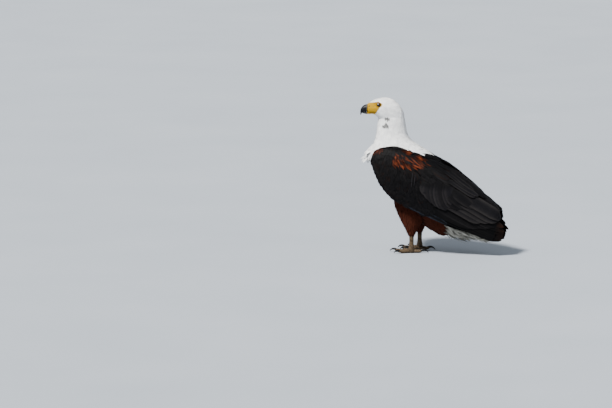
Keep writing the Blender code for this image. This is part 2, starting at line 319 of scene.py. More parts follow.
def bare_face(points):
    """0 on feathered skin to 1 on the bare yellow face."""
    local = in_head(points)
    near = (local[:, 0] > -25) & (np.abs(local[:, 2] + 15) < 45)
    edge = signed_distance(local[:, [0, 2]], BARE_FACE)
    return np.where(near, smooth(-0.8, 0.8, edge), 0.0)


# ---- one skin ----
BODY_NODES = ["head", "cere", "neck", "trunk", "undertail", "thigh_left", "thigh_right"]
WING_NODES = {
    side: [f"wing_{side}_{part}" for part in ("coverts", "secondaries", "primaries")]
    for side in SIDES
}
TOES = ("middle", "inner", "outer", "hind")
LEG_NODES = {
    side: ["tarsus_" + side] + [f"toe_{side}_{toe}" for toe in TOES]
    for side in SIDES
}
EYE_NODES = ["eye_left", "eye_right"]


def tree_of(nodes):
    shape = joined(nodes)
    tree = BVHTree.FromBMesh(shape)
    shape.free()
    return tree


REGIONS = {
    "head": tree_of(["head", "cere"]),
    "neck": tree_of(["neck"]),
    "trunk": tree_of(["trunk", "undertail"]),
    "thigh_left": tree_of(["thigh_left"]),
    "thigh_right": tree_of(["thigh_right"]),
    "tail": tree_of(["tail"]),
    "wing_left": tree_of(WING_NODES["left"]),
    "wing_right": tree_of(WING_NODES["right"]),
}


def regions_at(points):
    """Which part of the bird each point lies on."""
    names = list(REGIONS)
    found = []
    for point in points:
        gaps = [REGIONS[name].find_nearest(Vector(point))[3] for name in names]
        found.append(names[int(np.argmin(gaps))])
    return np.array(found)


COAT_DEPTH = {
    "trunk": 0.0040, "thigh_left": 0.0034, "thigh_right": 0.0034,
    "tail": 0.0012, "wing_left": 0.0042, "wing_right": 0.0042,
}
HEAD_DEPTH = [(0.015, 0.0012), (0.060, 0.0019), (0.130, 0.0036)]  # by distance from the eyes
SKIN_VOXEL, FORM_VOXEL, LEG_VOXEL, BILL_VOXEL, CLAW_VOXEL = 0.0017, 0.0038, 0.0008, 0.0007, 0.0006


def coat_depth(points, regions):
    """How far under the outside the skin lies: least round the face."""
    away = np.linalg.norm(points - HEAD_MIDDLE, axis=1)
    head = np.interp(away, *zip(*HEAD_DEPTH))
    return np.array([COAT_DEPTH.get(name, near) for name, near in zip(regions, head)])


def refine_face(mesh):
    """Finer faces on the bare face and round the eyes."""
    fine = bmesh.new()
    fine.from_mesh(mesh)
    middles = in_head(np.array([face.calc_center_median() for face in fine.faces]))
    near = (middles[:, 0] > -18) & (np.abs(middles[:, 2] + 10) < 32)
    edges = {edge for face, chosen in zip(fine.faces, near) if chosen for edge in face.edges}
    bmesh.ops.subdivide_edges(fine, edges=list(edges), cuts=1, use_grid_fill=True, smooth=0.6)
    bmesh.ops.triangulate(fine, faces=[f for f in fine.faces if len(f.verts) > 4])
    fine.to_mesh(mesh)
    fine.free()


LORE_HOLLOW, LORE_MIDDLE = 0.0016, (20, -5)  # in front of the eye
BROW_RISE, GAPE_DEPTH, NOSTRIL_DEPTH = 0.0017, 0.0011, 0.0016
LID_REACH, LID_WRAP = 0.015, math.radians(125)  # where the skin is fitted round an eye
LID_BLUR = 0.05  # the softness of the opening's edge, in radians
LID_RISE, LID_CLEAR, EYE_HOLLOW = 0.00075, 0.0004, 0.0042
RIM_PLACE, RIM_WIDTH = 0.16, 0.15  # of the lid's thick rim, in radians past the opening
HOLD_END, HOLD_START = 0.75, 0.25  # how far past it the skin still keeps to the eyeball


def sculpt_face(points, normals):
    """Brow, lores, gape and nostrils, and the lids."""
    local = in_head(points)
    side_view = local[:, [0, 2]]
    on_side = np.abs(local[:, 1]) > 6
    lateral = np.outer(np.sign(local[:, 1]), HEAD_LEFT)
    brow = near_path(side_view, BROW_LINE, 2.2) * on_side
    points = points + lateral * (BROW_RISE * brow * bare_face(points))[:, None]
    ahead, up = LORE_MIDDLE
    lore = np.exp(-((local[:, 0] - ahead) / 8) ** 2 - ((local[:, 2] - up) / 6) ** 2)
    points = points - lateral * (LORE_HOLLOW * lore * on_side)[:, None]
    groove = near_path(side_view, GAPE_LINE, 0.9) * on_side
    nostril = near_path(side_view, NOSTRIL, 1.1) * on_side
    points = points - normals * (GAPE_DEPTH * groove + NOSTRIL_DEPTH * nostril)[:, None]
    for side in SIDES:
        points = fit_lids(points, side)
    return points


def fit_lids(points, side):
    """Closes the skin round an eyeball, thicker at the rim, and sinks it behind the opening."""
    offset = points - EYES[side]
    distance = np.linalg.norm(offset, axis=1)
    angle = np.arccos(np.clip((offset @ eye_look(side)) / np.maximum(distance, 1e-9), -1, 1))
    opened = smooth(EYE_OPENING + LID_BLUR, EYE_OPENING - LID_BLUR, angle)
    rim = np.exp(-(((angle - EYE_OPENING - RIM_PLACE) / RIM_WIDTH) ** 2))
    lid = EYE_RADIUS + LID_RISE * rim
    hold = smooth(EYE_OPENING + HOLD_END, EYE_OPENING + HOLD_START, angle)
    outside = angle > EYE_OPENING + LID_BLUR
    wanted = np.where(angle < EYE_OPENING + LID_BLUR, lid - EYE_HOLLOW * opened, lid)
    radius = distance + (wanted - distance) * np.maximum(hold, opened)
    radius = np.where(outside, np.maximum(radius, lid + LID_CLEAR), radius)
    moved = offset / np.maximum(distance, 1e-9)[:, None] * radius[:, None] + EYES[side]
    near = (distance < LID_REACH) & (angle < LID_WRAP)
    return np.where(near[:, None], moved, points)


def skin_colours(points, normals):
    """The coat's markings on the skin beneath it."""
    regions = regions_at(points)
    # A fifth darker than the coat's own colour: painted shade on the skin under the feathers.
    colours = body_colour(points, regions, normals) * 0.8
    face = bare_face(points)
    local = in_head(points)
    side_view = local[:, [0, 2]]
    on_side = np.abs(local[:, 1]) > 5
    gape = near_path(side_view, GAPE_LINE, 0.8)
    nostril = near_path(side_view, NOSTRIL, 1.0) * on_side
    # The brow's darker band is painted shade under the brow ridge.
    brow = near_path(side_view, BROW_LINE, 2.6) * on_side * smooth(24, 6, local[:, 0])
    yellow = mixed(YELLOW, BROW_SHADE, np.minimum(brow * 1.1, 1))
    # The gape's groove and the nostril painted dark: partly painted shade in them.
    yellow = mixed(yellow, GAPE_AND_NOSTRIL_SHADE, np.maximum(gape, nostril) * 0.9)
    lids = smooth(7.2, 6.0, np.hypot(local[:, 0], local[:, 2])) * on_side
    yellow = mixed(yellow, LID, lids * 0.95)
    return mixed(colours, yellow, face)


SKIN_SWELL = 0.0011  # keeps the thin wing tips whole while the skin is formed
BARE_DEPTH = 0.0004  # how far under the outside the bare face lies
MOST_DEPTH_SHARE = 0.33  # of a wing's or the tail's thickness, taken off each face of it
WING_SKIN_END = 0.490  # along the wing: its flight feathers reach past the skin here
PULLED_BACK = 0.8  # of the skin past that end


def add_jaw(shape):
    """Adds the fleshy part of the lower bill to a bmesh."""
    jaw = joined(["bill_lower"])
    cut_off(jaw, HEAD_MIDDLE + HEAD_FORWARD * JAW_END, -HEAD_FORWARD)
    flesh = bpy.data.meshes.new("jaw")
    jaw.to_mesh(flesh)
    jaw.free()
    shape.from_mesh(flesh)
    bpy.data.meshes.remove(flesh)


def thickness(mesh, chosen, most=0.05):
    """How far it is through a mesh from each of its chosen points."""
    points, normals = surface_of(mesh)
    outer = tree_over(mesh)
    found = np.full(len(points), most)
    for i in np.flatnonzero(chosen):
        inward = Vector(-normals[i])
        hit = outer.ray_cast(Vector(points[i]) + inward * 0.0005, inward, most)
        if hit[0] is not None:
            found[i] = hit[3]
    return found


def make_skin():
    """The whole body's skin in one mesh, under the coat by the coat's depth."""
    shape = joined(BODY_NODES + EYE_NODES + ["tail"] + WING_NODES["left"] + WING_NODES["right"])
    add_jaw(shape)
    mesh = remeshed("skin", shape, SKIN_VOXEL, 8, swell=SKIN_SWELL)
    refine_face(mesh)
    points, normals = surface_of(mesh)
    regions = regions_at(points)
    face = bare_face(points)
    depth = coat_depth(points, regions) * (1 - face) + BARE_DEPTH * face + SKIN_SWELL - SWELL
    thin = np.isin(regions, ["tail", "wing_left", "wing_right"])
    most = thickness(mesh, thin) * MOST_DEPTH_SHARE
    depth = np.where(thin, eased(mesh, np.minimum(depth, most), 3), depth)
    points = points - normals * depth[:, None]
    past = np.maximum(in_wing(points)[0] - WING_SKIN_END, 0) * np.char.startswith(regions, "wing")
    points = points - PULLED_BACK * past[:, None] * WING_ALONG
    points = sculpt_face(points, normals)
    set_points(mesh, points)
    mesh.shade_smooth()
    return link("skin", mesh)


# The upper edge of the folded wing: y from the feet, and z, in metres.
WING_CREST = [(-0.130, 0.340), (-0.106, 0.357), (-0.060, 0.363), (-0.012, 0.353), (0.040, 0.334),
              (0.086, 0.310), (0.130, 0.282), (0.214, 0.214), (0.300, 0.130)]
BIB_LOW, BIB_REAR, MANTLE_END, VENT_END = 0.303, -0.118, 0.034, 0.108
BACK_DEPTH, BACK_WIDTH = 0.080, 0.070  # of the black between the wings
# The tail's top is painted black where the wings cover it, as painted shade under them: above a
# sloping line, and ahead of an end.
TAIL_TOP, TAIL_SLOPE, TAIL_COVERED = 0.139, 0.3, 0.23
FACING_UP = 0.3  # the least upward part of a normal on the back
# Dark feathers on the left of the throat: place from the feet, and reach.
THROAT_MARKS = [((-0.094, 0.452), 0.0085), ((-0.097, 0.431), 0.0100)]


def body_colour(points, regions, normals):
    """White head, neck, mantle and tail, black wings and back, and chestnut underparts."""
    x = points[:, 0]
    y = points[:, 1] - FEET.y
    z = points[:, 2]
    colours = np.tile(CHESTNUT, (len(points), 1))
    crest = np.interp(y, *zip(*WING_CREST))
    above = z > crest - 0.002
    trunk = regions == "trunk"
    between_wings = (z > crest - BACK_DEPTH) & (np.abs(x) < BACK_WIDTH / 2)
    back = above | (normals[:, 2] > FACING_UP) | between_wings
    back = (back & trunk | (regions == "neck")) & (y > BIB_REAR)
    colours[back] = BLACK
    ragged = 0.007 * np.sin(x * 310) + 0.004 * np.sin(x * 730 + 1)
    bib = (z > BIB_LOW + ragged) & (y < BIB_REAR)
    mantle = above & (y < MANTLE_END - 0.5 * np.abs(x))
    white = (regions == "head") | np.isin(regions, ["neck", "trunk"]) & (bib | mantle)
    colours[white] = WHITE
    rear = trunk & (y > VENT_END + 0.15 * (z - 0.07)) & ~back
    # The vent and the tail take the darker white: painted shade under the body.
    colours[rear | (regions == "tail")] = SHADED_TAIL_WHITE
    tail_top = (normals[:, 2] > FACING_UP) | (z > TAIL_TOP - TAIL_SLOPE * y)
    # Painted shade: black on the tail's top under the wings.
    colours[(regions == "tail") & tail_top & (y < TAIL_COVERED)] = BLACK
    colours[np.isin(regions, ["wing_left", "wing_right"])] = BLACK
    return colours


# ---- camera, light and floor ----
def make_studio():
    """The camera, a sun and a fill light, a pale sky and the floor."""
    view_azimuth, view_elevation = math.radians(106), math.radians(9)
    view_width = 2.05  # metres across the picture at the bird
    feet_right, feet_down = 0.3668, 0.1574  # of the picture's centre
    lens, sensor = 200.0, 36.0
    back = Vector((
        math.sin(view_azimuth) * math.cos(view_elevation),
        -math.cos(view_azimuth) * math.cos(view_elevation),
        math.sin(view_elevation),
    ))
    right = Vector((math.cos(view_azimuth), math.sin(view_azimuth), 0))
    above = back.cross(right)
    aim = FEET - right * feet_right + above * feet_down
    camera = bpy.data.cameras.new("camera")
    camera.lens = lens
    camera.sensor_width = sensor
    camera.clip_end = 200
    eye = bpy.data.objects.new("camera", camera)
    eye.location = aim + back * (view_width * lens / sensor)
    eye.rotation_euler = back.to_track_quat("Z", "Y").to_euler()
    bpy.context.scene.collection.objects.link(eye)
    bpy.context.scene.camera = eye

    bird_middle = FEET + UP * 0.28

    def shine(kind, place, power, colour, **settings):
        light = bpy.data.lights.new(kind.lower(), kind)
        light.energy = power
        light.color = colour
        for key, value in settings.items():
            setattr(light, key, value)
        obj = bpy.data.objects.new(kind.lower(), light)
        obj.location = FEET + place
        aimed = obj.location - bird_middle
        obj.rotation_euler = aimed.to_track_quat("Z", "Y").to_euler()
        bpy.context.scene.collection.objects.link(obj)

    key_place = right * -1.5 + back * 1.3 + UP * 2.7
    shine("SUN", key_place, 9.6, (1.0, 0.98, 0.95), angle=math.radians(10))
    shine("AREA", right * 2.2 + back * 1.2 + UP, 15, (0.90, 0.95, 1.0), size=2.2)
    world = bpy.data.worlds.new("studio")
    world.use_nodes = True
    sky = world.node_tree.nodes["Background"].inputs
    sky["Color"].default_value = (0.82, 0.88, 0.96, 1)
    sky["Strength"].default_value = 0.62
    bpy.context.scene.world = world

    bpy.ops.mesh.primitive_plane_add(size=120)
    floor = bpy.context.object
    floor.name = "floor"
    floor.data.materials.append(floor_material())


# ---- materials ----
BARBS_PER_CM = 11.0
FULL = (1.0, 1.0, 1.0)


class Surface:
    """A short way to build a Principled material's nodes."""

    def __init__(self, name, roughness, specular=0.5):
        self.material = bpy.data.materials.new(name)
        self.material.use_nodes = True
        self.nodes = self.material.node_tree.nodes
        self.links = self.material.node_tree.links
        self.shader = self.nodes["Principled BSDF"]
        self.shader.inputs["Roughness"].default_value = roughness
        self.shader.inputs["Specular IOR Level"].default_value = specular

    def node(self, kind, **settings):
        made = self.nodes.new(kind)
        for key, value in settings.items():
            if key in made.inputs:
                made.inputs[key].default_value = value
            else:
                setattr(made, key, value)
        return made

    def join(self, source, target):
        self.links.new(source, target)

    def attribute(self, name, output="Color"):
        return self.node("ShaderNodeAttribute", attribute_name=name).outputs[output]

    def place(self):
        return self.node("ShaderNodeTexCoord").outputs["Object"]

    def noise(self, scale, detail=4.0, place=None):
        noise = self.node("ShaderNodeTexNoise", Scale=scale, Detail=detail)
        self.join(place or self.place(), noise.inputs["Vector"])
        return noise.outputs["Fac"]

    def ramp(self, value, low, high, at=(0.3, 0.7)):
        ramp = self.node("ShaderNodeValToRGB")
        ramp.color_ramp.elements[0].position, ramp.color_ramp.elements[1].position = at
        ramp.color_ramp.elements[0].color = (*low, 1)
        ramp.color_ramp.elements[1].color = (*high, 1)
        self.join(value, ramp.inputs["Fac"])
        return ramp.outputs["Color"]

    def times(self, first, second, share=None):
        """One colour times another, only where share is 1 if that is given."""
        mix = self.node("ShaderNodeMix", data_type="RGBA", blend_type="MULTIPLY")
        factor, first_colour, second_colour = mix.inputs[0], mix.inputs[6], mix.inputs[7]
        factor.default_value = 1.0
        if share is not None:
            self.join(share, factor)
        self.join(first, first_colour)
        self.join(second, second_colour)
        return mix.outputs[2]

    def bump(self, height, strength, distance):
        bump = self.node("ShaderNodeBump", Strength=strength, Distance=distance)
        self.join(height, bump.inputs["Height"])
        self.join(bump.outputs["Normal"], self.shader.inputs["Normal"])

    def colour(self, socket):
        self.join(socket, self.shader.inputs["Base Color"])


def floor_material():
    surface = Surface("pale_floor", 0.75)
    surface.colour(surface.ramp(surface.noise(2.0), (0.30, 0.33, 0.37), (0.32, 0.35, 0.39)))
    return surface.material


def plumage_material(name, roughness, shine, barb_strength):
    """Feather vanes: the tint, and fine barbs that slant from the shaft."""
    surface = Surface(name, roughness, shine)
    vane = surface.node("ShaderNodeUVMap", uv_map="Vane")
    barbs = surface.node("ShaderNodeTexWave", Scale=BARBS_PER_CM * 0.63, Distortion=1.4)
    barbs.wave_type = "BANDS"
    barbs.bands_direction = "DIAGONAL"
    barbs.inputs["Detail"].default_value = 2.0
    barbs.inputs["Detail Scale"].default_value = 2.0
    surface.join(vane.outputs["UV"], barbs.inputs["Vector"])
    patchy = surface.ramp(surface.noise(70.0), (0.74, 0.74, 0.76), FULL)
    lined = surface.ramp(barbs.outputs["Fac"], (0.86, 0.86, 0.86), FULL, (0.0, 0.6))
    surface.colour(surface.times(surface.times(surface.attribute("Tint"), patchy), lined))
    surface.bump(barbs.outputs["Fac"], barb_strength, 0.0002)
    return surface.material


def skin_material():
    """Bare skin in the tint of its place: fine pores on the face, small scales on the legs."""
    surface = Surface("bare_skin", 0.5)
    tint, legs = surface.attribute("Tint"), surface.attribute("Scaly", "Fac")
    cells = surface.node("ShaderNodeTexVoronoi", Scale=430.0, feature="DISTANCE_TO_EDGE")
    surface.join(surface.place(), cells.inputs["Vector"])
    creases = surface.ramp(cells.outputs["Distance"], (0.30, 0.27, 0.24), FULL, (0.0, 0.2))
    patchy = surface.ramp(surface.noise(240.0), (0.82, 0.76, 0.70), FULL)
    surface.colour(surface.times(surface.times(tint, patchy), creases, legs))
    relief = surface.node("ShaderNodeMix", data_type="FLOAT")
    surface.join(legs, relief.inputs[0])
    surface.join(surface.noise(900.0), relief.inputs[2])
    surface.join(creases, relief.inputs[3])
    surface.bump(relief.outputs[0], 0.35, 0.0005)
    shine = surface.ramp(tint, (0.0, 0.0, 0.0), (0.12, 0.12, 0.12), (0.002, 0.05))
    surface.join(shine, surface.shader.inputs["Specular IOR Level"])
    return surface.material


def horn_material(name, roughness):
    """Hard glossy horn in the tint of its place, with streaks along it."""
    surface = Surface(name, roughness, 0.16)
    stretch = surface.node("ShaderNodeMapping", Scale=(1.0, 1.0, 0.35))
    surface.join(surface.place(), stretch.inputs["Vector"])
    noise = surface.noise(190.0, 5.0, stretch.outputs["Vector"])
    streaks = surface.ramp(noise, (0.65, 0.65, 0.65), FULL)
    surface.colour(surface.times(surface.attribute("Tint"), streaks))
    surface.bump(noise, 0.12, 0.0003)
    return surface.material


def eye_material():
    """A wet surface over the tint's faint fibres."""
    surface = Surface("eye_surface", 0.12, 0.2)
    fibres = surface.ramp(surface.noise(700.0), (0.6, 0.55, 0.5), FULL)
    surface.colour(surface.times(surface.attribute("Tint"), fibres))
    surface.shader.inputs["Coat Weight"].default_value = 0.25
    surface.shader.inputs["Coat Roughness"].default_value = 0.05
    return surface.material


# ---- feathers ----
# A feather's outline: its width at the root as a share of its widest, where along it the widest and
# the start of its end come, how blunt that end is, how it closes, and the number of stations.
Outline = collections.namedtuple("Outline", "root widest end blunt closing stations")
OUTLINES = {
    "round": Outline(0.40, 0.40, 0.45, 2.2, 0.55, 6),
    "lance": Outline(0.45, 0.35, 0.35, 1.5, 0.90, 6),
    "loose": Outline(0.40, 0.40, 0.40, 1.5, 0.85, 6),
    "covert": Outline(0.30, 0.45, 0.50, 2.3, 0.50, 8),
    "flight": Outline(0.25, 0.30, 0.78, 2.0, 0.50, 12),
}
TIP_WIDTH = 0.05  # as a share of the widest


def outline_of(shape):
    """Stations along a feather, closer together towards its tip, and its width at each."""
    outline = OUTLINES[shape]
    share = 1 - (1 - np.linspace(0, 1, outline.stations)) ** 1.5
    past = np.clip((share - outline.end) / (1 - outline.end), 0, 1)
    width = outline.root + (1 - outline.root) * smooth(0, outline.widest, share)
    return share, np.maximum(width * (1 - past**outline.blunt) ** outline.closing, TIP_WIDTH)


# Round a feather's section: how far across it, and whether that point is on the underside.
SMALL_SECTION = [(1.0, 0), (0.0, 0), (-1.0, 0), (0.0, 1)]
LARGE_SECTION = [(1.0, 0), (0.5, 0), (0.0, 0), (-0.5, 0), (-1.0, 0), (-0.5, 1), (0.0, 1), (0.5, 1)]
# A feather's colours; the darker root is partly its down, partly painted shade under the feathers over
# it.
Tints = collections.namedtuple("Tints", "root vane edge tip")
MOST_BEND = math.radians(24)
MAP_START, MAP_SPAN, PATCH = 0.02, 0.95, 0.003  # of the OFBake map, and one feather's patch in it


class Coat:
    """Collects feathers and makes them one mesh piece."""

    def __init__(self, name, tree, unwrap_from, unwrap_to):
        self.name, self.tree = name, tree
        self.axis = (np.array(unwrap_from), np.array(unwrap_to))
        self.points, self.faces, self.tints, self.bakes, self.vanes = [], [], [], [], []
        self.count = 0

    def spine(self, root, heading, steps):
        """The shaft's line: a walk over the skin from the root, off it only where the skin ends."""
        slack, fold = 0.002, 0.35  # it leaves the skin where this drops away or turns sharply
        place, way = Vector(root), Vector(heading).normalized()
        out = self.tree.find_nearest(place)[1]
        line, outs = [place.copy()], [out]
        for step in steps:
            wanted = place + way * step
            on, normal, _, gap = self.tree.find_nearest(wanted)
            if gap < step * 0.55 + slack and normal.dot(out) > fold:
                out = out.lerp(normal, 0.6).normalized()
                place = on
            else:
                place = wanted
            line.append(place.copy())
            outs.append(out.copy())
            way = (way - out * way.dot(out) * 0.9).normalized()
        return line, outs

    def add(self, root, heading, length, width, shape, lift, tints, base=0.0, camber=0.16,
            tilt=0.0, thick=0.0005, section=SMALL_SECTION, most_stray=None):
        """One closed feather: a cambered vane over a flatter underside.

        Its root is sunk in the skin, and it stands off by base, and by lift as well at its tip.
        Where most_stray is given, one whose shaft would stand further than that off the skin, or turn
        off its heading, is left out.
        Its tilt raises one edge over the feather beside it.
        """
        share, profile = outline_of(shape)
        stations = len(share)
        line, outs = self.spine(root, heading, np.diff(share) * length)
        bend = (line[-1] - line[0]).angle(Vector(heading))
        if most_stray is not None:
            stray = max(self.tree.find_nearest(point)[3] for point in line)
            if stray > most_stray or bend > MOST_BEND:
                return
        line, outs = np.array(line), np.array(outs)
        ahead = np.gradient(line, axis=0)
        across = unit(np.cross(ahead, outs))
        lane, under = (np.array(column, float) for column in zip(*section))
        half = 0.5 * width * profile[:, None]
        height = (base * smooth(0.0, 0.3, share) + lift * share)[:, None]
        rise = height + half * (tilt * lane - camber * lane**2) - thick * under
        points = (line[:, None] + across[:, None] * (half * lane)[..., None]
                  + outs[:, None] * rise[..., None])
        # Darker towards the root: painted shade under the overlapping feathers, over the root's darker
        # down.
        shaded = mixed(tints.root, tints.vane, smooth(0.05, 0.45, share))
        shaded = mixed(shaded, tints.tip, smooth(0.86, 1.0, share))
        rim = np.clip(np.abs(lane) ** 3 * smooth(0.1, 0.5, share)[:, None] * 0.8, 0, 1)
        colours = mixed(shaded[:, None], tints.edge, rim)
        vanes = np.stack(np.broadcast_arrays(np.abs(lane) * half, share[:, None] * length), -1) * 100
        start, ring = self.count, len(section)
        turns = np.arange(ring)
        for i in range(stations - 1):
            a = start + ring * i
            self.faces += [(a + k, a + n, a + ring + n, a + ring + k)
                           for k, n in zip(turns, np.roll(turns, -1))]
        self.faces.append(tuple(start + turns[::-1]))
        self.faces.append(tuple(start + ring * (stations - 1) + turns))
        self.count += ring * stations
        self.points.append(points.reshape(-1, 3))
        self.tints.append(colours.reshape(-1, 3))
        self.vanes.append(vanes.reshape(-1, 2))
        self.bakes.append(self.patch(root, np.broadcast_to(lane, half.shape[:1] + lane.shape), share))

    def patch(self, root, lane, share):
        """A small patch at the root's place, on the skin unrolled round its axis."""
        start, end = self.axis
        axis = end - start
        offset = np.asarray(root) - start
        along = float(offset @ axis / (axis @ axis))
        side = np.cross(axis, (0, 0, 1.0))
        side = side / np.linalg.norm(side)
        over = np.cross(side, axis)
        over = over / np.linalg.norm(over)
        angle = math.atan2(float(offset @ side), float(offset @ over)) / (2 * math.pi) + 0.5
        u = MAP_START + MAP_SPAN * min(max(along, 0.0), 1.0)
        v = MAP_START + MAP_SPAN * angle
        corners = np.stack(np.broadcast_arrays(u + PATCH * share[:, None],
                                               v + PATCH / 2 * (1 + lane)), -1)
        return corners.reshape(-1, 2)

    def finish(self, material, slot):
        """Turns the feathers into one mesh piece with its maps."""
        mesh = bpy.data.meshes.new(self.name)
        mesh.from_pydata(np.concatenate(self.points), [], self.faces)
        corners = read(mesh.loops, "vertex_index", 1, np.int64)[:, 0]
        for layer, values in (("OFBake", self.bakes), ("Vane", self.vanes)):
            uv = mesh.uv_layers.new(name=layer)
            uv.data.foreach_set("uv", np.concatenate(values)[corners].ravel())
        paint(mesh, np.concatenate(self.tints))
        add_piece(self.name, mesh, material, slot)
        mesh.set_sharp_from_angle(angle=math.radians(75))


# ---- where the feathers go ----
# The lie of the coat: a place (from the feet), the way feathers point there, and its reach.
FLOW = [
    ((0.0, -0.155, 0.480), (-0.22, 0.85, -0.25), 0.030),
    ((0.0, -0.125, 0.505), (-0.15, 0.95, 0.05), 0.025),
    ((0.0, -0.085, 0.490), (-0.1, 0.75, -0.70), 0.030),
    ((0.0, -0.100, 0.430), (0.0, 0.12, -1.0), 0.040),
    ((0.0, -0.100, 0.370), (0.0, 0.05, -1.0), 0.045),
    ((0.0, -0.140, 0.330), (0.0, 0.00, -1.0), 0.040),
    ((0.0, -0.030, 0.370), (0.0, 0.70, -0.72), 0.040),
    ((0.0, 0.050, 0.320), (0.0, 0.84, -0.54), 0.050),
    ((0.0, -0.120, 0.240), (0.0, 0.42, -0.90), 0.060),
    ((0.0, 0.000, 0.160), (0.0, 0.80, -0.60), 0.060),
    ((0.0, 0.090, 0.090), (0.0, 0.95, -0.30), 0.050),
    ((0.0, 0.140, 0.250), (0.0, 0.85, -0.55), 0.060),
    ((0.0, 0.220, 0.080), (0.0, 0.97, -0.20), 0.060),
]
THIGH_LIE = Vector((0, 0.22, -1.0)).normalized()


def lie_at(points, regions):
    """The direction the coat lies in, at each point."""
    found = np.zeros_like(points)
    total = np.zeros(len(points))
    for place, way, reach in FLOW:
        where = np.array(place) + FEET
        weight = np.exp(-np.sum((points - where) ** 2, axis=1) / (2 * reach**2)) + 1e-12
        found += weight[:, None] * way
        total += weight
    found = unit(found / total[:, None])
    thigh = np.char.startswith(regions, "thigh")
    low = smooth(0.20, 0.13, points[:, 2])[:, None] * thigh[:, None]
    return unit(found * (1 - low) + low * THIGH_LIE)


def scattered(points, areas, spacing, chosen):
    """Evenly spread roots: random points on the chosen faces, none nearer than the spacing."""
    order = np.flatnonzero(chosen)
    if not len(order):
        return order
    kept, grid = [], {}
    cell_size = spacing[order].max()
    weights = areas[order] / spacing[order] ** 2
    picks = rng.choice(order, size=int(weights.sum() * 5), p=weights / weights.sum())
    steps = [(i, j, k) for i in (-1, 0, 1) for j in (-1, 0, 1) for k in (-1, 0, 1)]
    for pick in picks:
        point, gap = points[pick], spacing[pick] ** 2
        cell = tuple(int(v) for v in np.floor(point / cell_size))
        near = [other for step in steps
                for other in grid.get(tuple(a + b for a, b in zip(cell, step)), ())]
        if near and np.min(np.sum((points[near] - point) ** 2, axis=1)) < gap:
            continue
        kept.append(pick)
        grid.setdefault(cell, []).append(pick)
    return np.array(kept, int)


Ground = collections.namedtuple("Ground", "points normals areas regions")


def ground_of(mesh):
    """The middle, normal, area and region of each of a mesh's faces."""
    faces = mesh.polygons
    points = read(faces, "center")
    return Ground(points, read(faces, "normal"), read(faces, "area", 1)[:, 0], regions_at(points))


def body_form():
    """The body without its wings, under the coat, for its feathers to lie along."""
    mesh = remeshed("body_form", joined(BODY_NODES), FORM_VOXEL, 6)
    points, normals = surface_of(mesh)
    depth = coat_depth(points, regions_at(points))
    set_points(mesh, points - normals * depth[:, None])
    tree = tree_over(mesh)
    bpy.data.meshes.remove(mesh)
    return tree


# Head and neck feathers by distance from the eyes: distance, spacing, length, width, mm.
HEAD_COAT = [(12, 1.6, 5.0, 2.6), (50, 2.1, 10, 4.0), (90, 2.8, 17, 5.6), (150, 3.9, 26, 7.4),
             (260, 4.8, 31, 8.8)]
HEAD_LIFT = 0.10  # of the tip, as a share of the length
# Spacing, length, width and lift of the tip in mm, and shape.
BODY_COAT = {"trunk": (6.4, 28, 13, 3.4, "round"), "thighs": (4.2, 22, 7.0, 4.6, "loose")}


def body_sizes(part, points):
    """Spacing, length, width and lift of a part's feathers at each point in mm, and their shape."""
    if part in BODY_COAT:
        *sizes, shape = BODY_COAT[part]
        return *(np.full(len(points), size) for size in sizes), shape
    away = np.linalg.norm(points - HEAD_MIDDLE, axis=1) * 1000
    reach, *sizes = zip(*HEAD_COAT)
    spacing, length, width = (np.interp(away, reach, size) for size in sizes)
    return spacing, length, width, HEAD_LIFT * length, "lance"


def plain_tints(colour, root=0.8):
    """One colour all over, but darker at the root: partly its darker down, partly painted shade where
    it sinks under the feathers over it.
    """
    return Tints(colour * root, colour, colour, colour)


def coat_tints(colour):
    """Root, vane, edge and tip of a body feather of this colour."""
    shade = rng.uniform(0.86, 1.08)
    if np.allclose(colour, CHESTNUT):
        return Tints(CHESTNUT_ROOT_SHADE, CHESTNUT * shade,
                     CHESTNUT_EDGE * shade, CHESTNUT_EDGE * shade * 0.8)
    if np.allclose(colour, BLACK):
        return Tints(BLACK_ROOT_SHADE, BLACK * shade, BLACK_EDGE,
                     BLACK_EDGE * 0.7)
    return plain_tints(np.array(colour) * (0.95 + 0.05 * shade))


def throat_mark(point):
    """Whether a feather's root is on one of the grey marks on the left of the throat."""
    offset = point - FEET
    return offset[0] > 0 and any(
        math.hypot(offset[1] - y, (offset[2] - z) * 1.4) < reach for (y, z), reach in THROAT_MARKS
    )


def cover_body(ground, coats):
    """Contour feathers over head, neck, trunk and thighs."""
    points, normals, areas, regions = ground
    bare = bare_face(points) > 0.5
    ways = lie_at(points, regions)
    colours = body_colour(points, regions, normals)
    parts = {name: regions == name for name in ("head", "neck", "trunk")}
    parts["thighs"] = np.char.startswith(regions, "thigh")
    for part, chosen in parts.items():
        spacing, length, width, lift, shape = body_sizes(part, points)
        for i in scattered(points, areas, spacing / 1000, chosen & ~bare):
            scale = rng.uniform(0.85, 1.15)
            if part == "thighs":
                scale *= np.interp(points[i, 2], [0.062, 0.090], [0.5, 1.0])
            way = ways[i] + rng.normal(0, 0.08, 3)
            tints = coat_tints(colours[i])
            if throat_mark(points[i]):
                tints = Tints(*[mixed(WHITE, GREY_MARK, rng.uniform(0.75, 1.0))] * 4)
            coats[part].add(points[i], way, length[i] * scale / 1000, width[i] * scale / 1000, shape,
                            lift[i] * rng.uniform(0.7, 1.3) / 1000, tints, base=0.0004, thick=0.0003)


FLUFF_PLACE = (0.048, -0.156, 0.334)  # beside the breast, from the feet
FLUFF_COUNT = 46  # on each side


